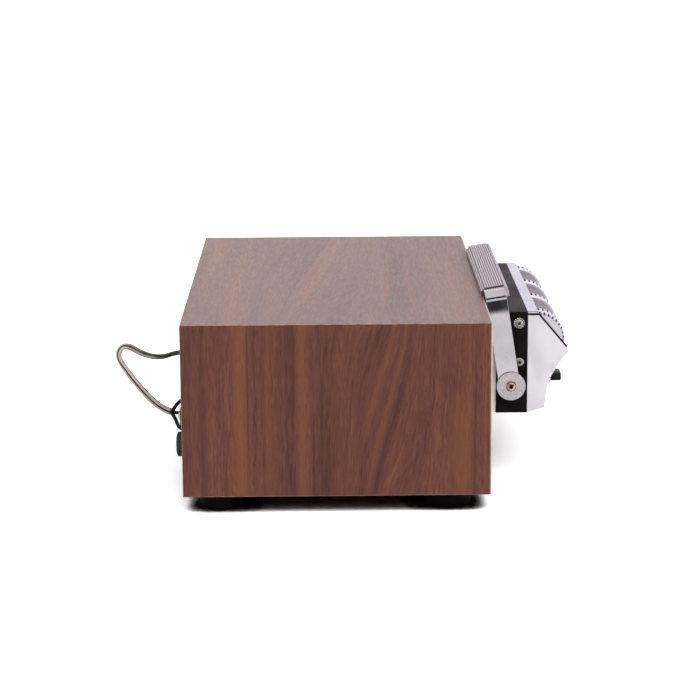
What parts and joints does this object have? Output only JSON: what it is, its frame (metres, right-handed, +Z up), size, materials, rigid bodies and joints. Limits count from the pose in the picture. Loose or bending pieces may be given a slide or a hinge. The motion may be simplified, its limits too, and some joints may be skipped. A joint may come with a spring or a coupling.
{
  "type": "8 track tape player",
  "caption": "Tape cartridge player with thumbwheel controls and a swing handle, docked in a mitred wooden cabinet on rubber feet.",
  "frame": {"origin": "below the middle of the player, on the surface under its feet", "axes": "+X is the front, where the cartridge goes in, +Y is the player's left, +Z is up"},
  "size_m": [0.3226, 0.348, 0.1419],
  "materials": {
    "walnut": "satin walnut veneer",
    "plywood": "raw board",
    "front_sheet": "satin",
    "hardboard": "matt brown",
    "rubber": "matt",
    "zinc_steel": "dull zinc plate",
    "cream_steel": "satin",
    "black_metal": "satin black",
    "silver_metal": "satin silver",
    "silver_plastic": "silvered",
    "dark_plastic": "matt dark grey",
    "black_plastic": "matt black",
    "grey_plastic": "ribbed grey",
    "chrome": "polished",
    "nickel": "nickel plate",
    "brass": "plain",
    "bronze": "sintered",
    "lead_brown": "satin brown",
    "copper": "enamelled wire",
    "lamination": "varnished",
    "circuit_board": "brown laminate"
  },
  "bodies": {
    "player": {"cabinet_top": "walnut", "cabinet_bottom": "walnut", "cabinet_side_left": "walnut", "cabinet_side_right": "walnut", "panel_cleats": "plywood", "front_panel": "front_sheet", "rear_panel": "hardboard", "rear_panel_screws": "nickel", "rubber_feet": "rubber", "floor_screws": "zinc_steel", "terminal_strip": "black_plastic", "terminal_screws": "brass", "cord_grommet": "black_plastic", "rear_lead": "lead_brown", "rear_pot": "zinc_steel", "transformer_core": "lamination", "transformer_winding": "copper", "dock_bracket": "zinc_steel", "chassis_tray": "cream_steel", "chassis_cover": "cream_steel", "front_housing": "black_metal", "housing_screws": "nickel", "star_washers": "nickel", "cheek_right": "silver_metal", "cheek_left": "silver_metal", "cheek_gaskets": "black_plastic", "fascia_crown": "silver_metal", "fascia_lower": "silver_metal", "dial_shrouds": "dark_plastic", "control_pots": "zinc_steel", "cartridge_guide": "zinc_steel", "door_pin": "nickel", "door_spring": "nickel", "program_switch": "black_plastic", "pivot_bushes": "bronze", "pivot_discs": "silver_metal", "pivot_screws": "nickel", "deck_plate": "zinc_steel", "drive_motor": "zinc_steel", "drive_belt": "rubber", "capstan_bearing": "bronze", "head_guide_pins": "nickel", "solenoid": "copper", "amplifier_board": "circuit_board"},
    "handle": {"handle_strap_right": "chrome", "handle_strap_left": "chrome", "handle_grip": "grey_plastic"},
    "door": {"cartridge_door": "dark_plastic"},
    "volume_control": {"volume_wheel": "silver_plastic"},
    "bass_control": {"bass_wheel": "silver_plastic"},
    "treble_control": {"treble_wheel": "silver_plastic"},
    "balance_control": {"balance_wheel": "silver_plastic"},
    "program_key": {"program_button": "black_plastic"},
    "flywheel_spindle": {"flywheel": "zinc_steel"},
    "motor_rotor": {"motor_pulley": "brass"},
    "head_lift": {"head_carriage": "silver_metal", "tape_head": "chrome"},
    "program_cam": {"step_cam": "grey_plastic"},
    "solenoid_core": {"solenoid_plunger": "nickel"},
    "rear_control": {"rear_knob": "black_plastic"}
  },
  "joints": [
    {"name": "handle_swing", "type": "hinge", "parent": "player", "child": "handle", "pos_m": [0.0987, 0, 0.0714], "axis": [0, 1, 0], "range_deg": [0, 110]},
    {"name": "door_flap", "type": "hinge", "parent": "player", "child": "door", "pos_m": [0.1229, 0, 0.079], "axis": [0, 1, 0], "range_deg": [0, 80], "stiffness_Nm_per_rad": 0.003, "springref_deg": -11.46},
    {"name": "volume_turn", "type": "hinge", "parent": "player", "child": "volume_control", "pos_m": [0.1182, -0.0825, 0.1026], "axis": [0, 1, 0], "range_deg": [0, 270]},
    {"name": "bass_turn", "type": "hinge", "parent": "player", "child": "bass_control", "pos_m": [0.1182, -0.0275, 0.1026], "axis": [0, 1, 0], "range_deg": [-135, 135]},
    {"name": "treble_turn", "type": "hinge", "parent": "player", "child": "treble_control", "pos_m": [0.1182, 0.0275, 0.1026], "axis": [0, 1, 0], "range_deg": [-135, 135]},
    {"name": "balance_turn", "type": "hinge", "parent": "player", "child": "balance_control", "pos_m": [0.1182, 0.0825, 0.1026], "axis": [0, 1, 0], "range_deg": [-135, 135]},
    {"name": "program_press", "type": "slide", "parent": "player", "child": "program_key", "axis": [-1, 0, 0], "range_m": [0, 0.003], "stiffness_N_per_m": 200},
    {"name": "flywheel_spin", "type": "hinge", "parent": "player", "child": "flywheel_spindle", "pos_m": [0.0299, -0.028, 0.089], "axis": [0, 0, 1], "continuous": true},
    {"name": "motor_spin", "type": "hinge", "parent": "player", "child": "motor_rotor", "pos_m": [-0.0431, -0.028, 0.089], "axis": [0, 0, 1], "continuous": true},
    {"name": "cam_step", "type": "hinge", "parent": "player", "child": "program_cam", "pos_m": [-0.0001, 0.015, 0.0667], "axis": [0, 1, 0], "range_deg": [0, 270]},
    {"name": "head_step", "type": "slide", "parent": "player", "child": "head_lift", "axis": [0, 0, 1], "range_m": [0, 0.0024]},
    {"name": "solenoid_pull", "type": "slide", "parent": "player", "child": "solenoid_core", "axis": [-1, 0, 0], "range_m": [0, 0.004], "stiffness_N_per_m": 120},
    {"name": "rear_turn", "type": "hinge", "parent": "player", "child": "rear_control", "pos_m": [-0.13295, -0.114, 0.0339], "axis": [-1, 0, 0], "range_deg": [0, 270]}
  ],
  "couplings": [
    {"joint": "motor_spin", "follows": "flywheel_spin", "ratio": 5},
    {"joint": "cam_step", "follows": "head_step", "rad_per_m": 1963.5}
  ]
}
